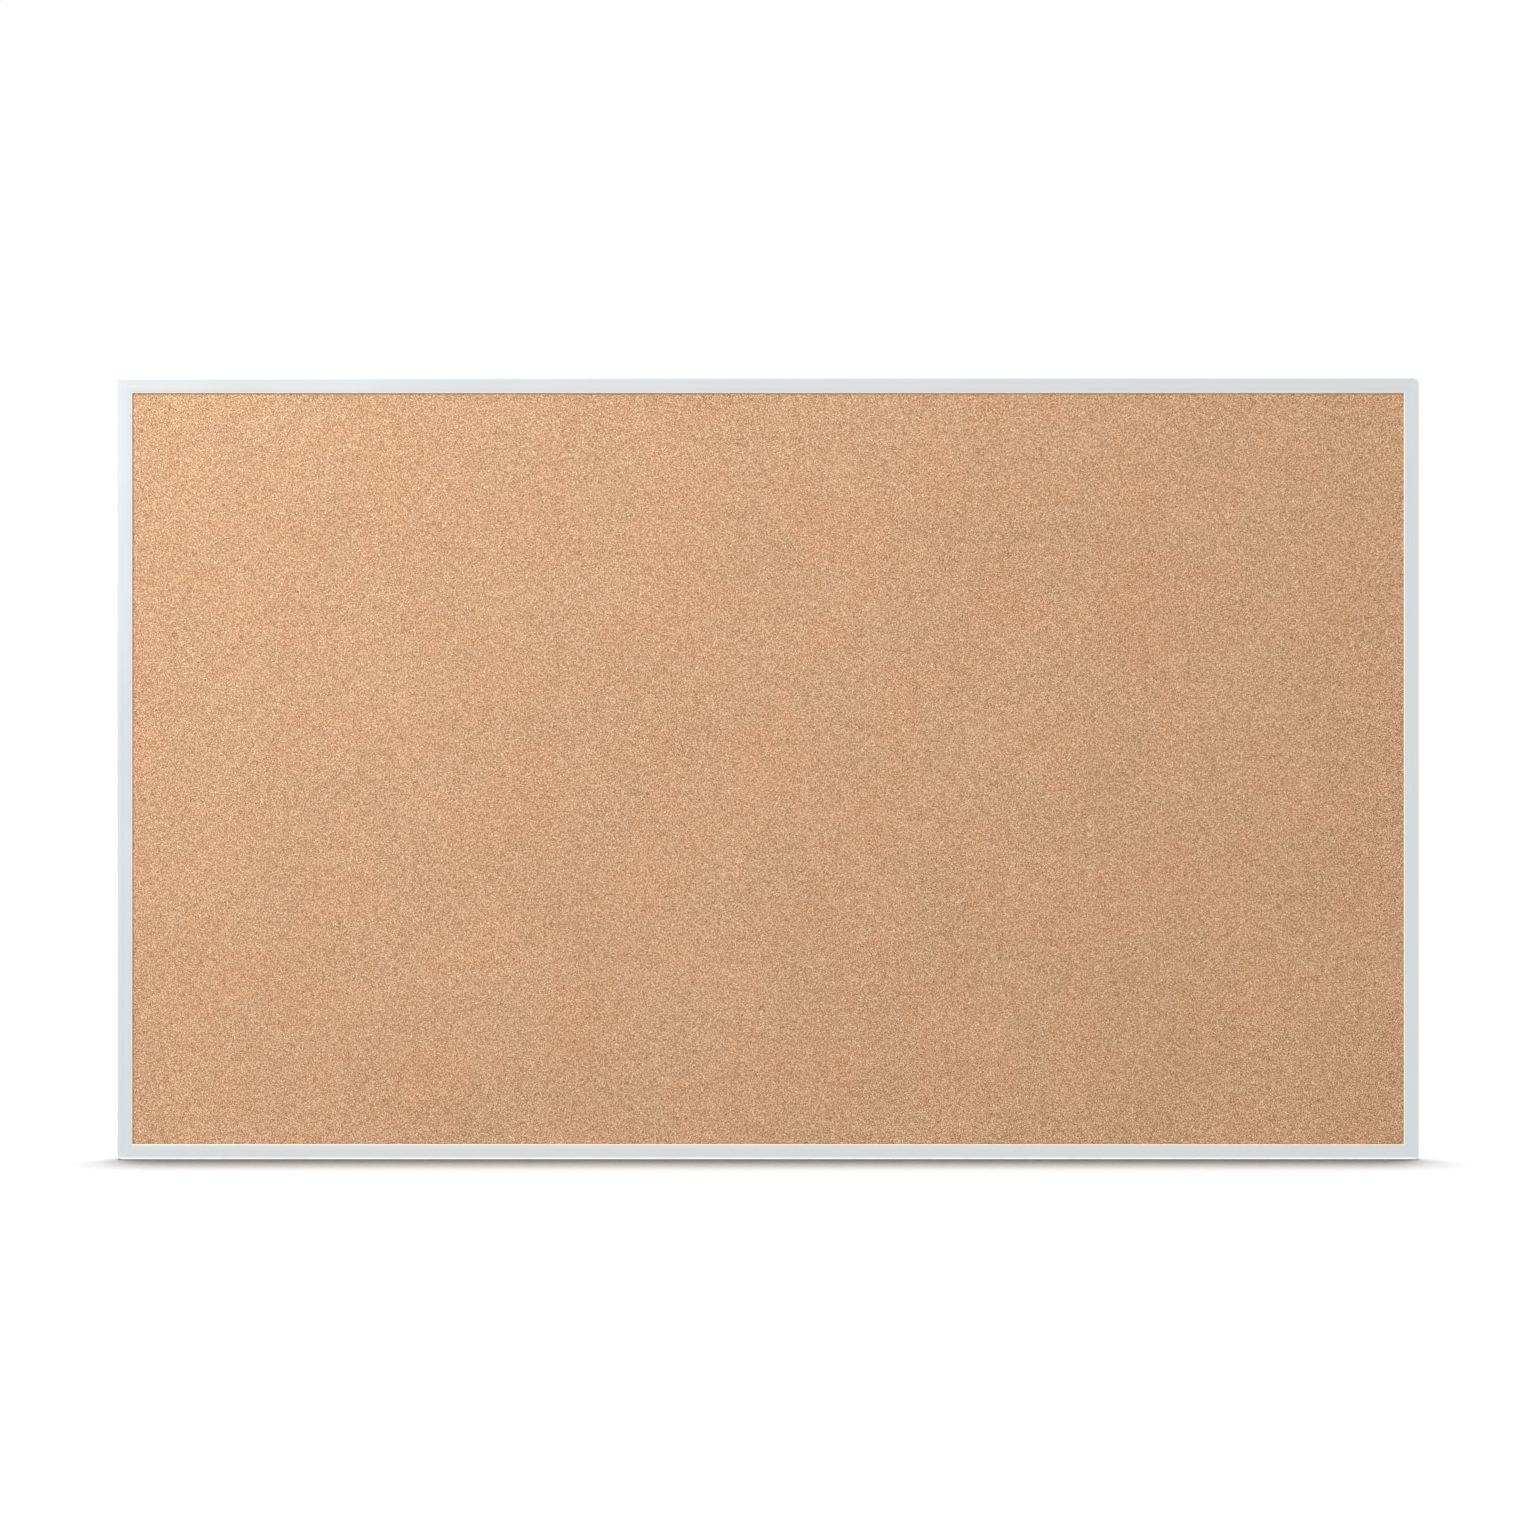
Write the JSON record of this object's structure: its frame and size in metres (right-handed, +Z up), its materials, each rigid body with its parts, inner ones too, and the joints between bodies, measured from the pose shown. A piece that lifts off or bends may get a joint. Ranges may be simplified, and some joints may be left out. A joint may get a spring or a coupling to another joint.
{
  "type": "cork bulletin board",
  "caption": "Large landscape cork bulletin board in a slim mitred satin-aluminium frame, with a fibreboard core and keyhole hangers recessed in the back so that it hangs flat on a wall.",
  "frame": {"origin": "on the wall plane at the frame's back, behind the middle of the board", "axes": "+X runs along the board to the right as seen from the front, +Z is up, and +Y points into the wall, so the cork faces -Y"},
  "size_m": [1.524, 0.016, 0.9144],
  "materials": {
    "frame_aluminium": "satin anodised",
    "cork": "matte fine-grain agglomerated cork",
    "fibreboard": "matte soft fibreboard",
    "kraft_backing": "matte kraft paperboard",
    "key_metal": "matte die-cast",
    "zinc_steel": "satin zinc-plated"
  },
  "bodies": {
    "root": {"cork_sheet": "cork", "core_board": "fibreboard", "backing_sheet": "kraft_backing", "top_rail": "frame_aluminium", "right_rail": "frame_aluminium", "bottom_rail": "frame_aluminium", "left_rail": "frame_aluminium", "corner_key_top_left": "key_metal", "key_screw_top_left_a": "zinc_steel", "key_screw_top_left_b": "zinc_steel", "corner_key_top_right": "key_metal", "key_screw_top_right_a": "zinc_steel", "key_screw_top_right_b": "zinc_steel", "corner_key_bottom_left": "key_metal", "key_screw_bottom_left_a": "zinc_steel", "key_screw_bottom_left_b": "zinc_steel", "corner_key_bottom_right": "key_metal", "key_screw_bottom_right_a": "zinc_steel", "key_screw_bottom_right_b": "zinc_steel", "hanger_left": "zinc_steel", "hanger_screw_left_1": "zinc_steel", "hanger_screw_left_2": "zinc_steel", "hanger_right": "zinc_steel", "hanger_screw_right_1": "zinc_steel", "hanger_screw_right_2": "zinc_steel"}
  },
  "joints": []
}
